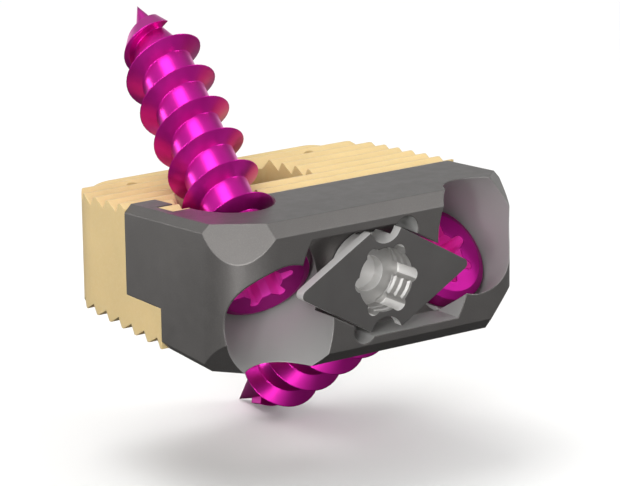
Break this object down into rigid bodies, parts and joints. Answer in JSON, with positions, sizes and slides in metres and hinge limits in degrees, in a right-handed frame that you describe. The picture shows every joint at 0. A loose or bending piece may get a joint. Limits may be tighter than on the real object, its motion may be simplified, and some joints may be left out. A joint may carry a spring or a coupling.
{
  "type": "spinal interbody cage",
  "caption": "Stand-alone neck spinal interbody cage: titanium front frame, toothed polymer spacer, angled bone screws and a turning lock that covers the screw heads.",
  "frame": {"origin": "on the lock's turning axis, in the plane of the front face", "axes": "+X to the right seen from the front, +Y back into the disc space, +Z towards the head"},
  "size_m": [0.016, 0.0156, 0.0198],
  "materials": {
    "titanium": "fine blasted titanium alloy",
    "lock_titanium": "machined titanium alloy",
    "screw_titanium": "magenta anodised titanium alloy",
    "spacer_polymer": "machined natural polyether ether ketone",
    "marker_metal": "tantalum"
  },
  "bodies": {
    "cage": {"cage_frame": "titanium", "peek_spacer": "spacer_polymer", "screw_cranial": "screw_titanium", "screw_caudal": "screw_titanium", "marker_pin_left": "marker_metal", "marker_pin_right": "marker_metal"},
    "lock": {"lock_cam": "lock_titanium", "lock_retaining_ring": "lock_titanium"}
  },
  "joints": [
    {"name": "lock_turn", "type": "hinge", "parent": "cage", "child": "lock", "pos_m": [0, 0, 0], "axis": [0, 1, 0], "range_deg": [0, 30]}
  ]
}
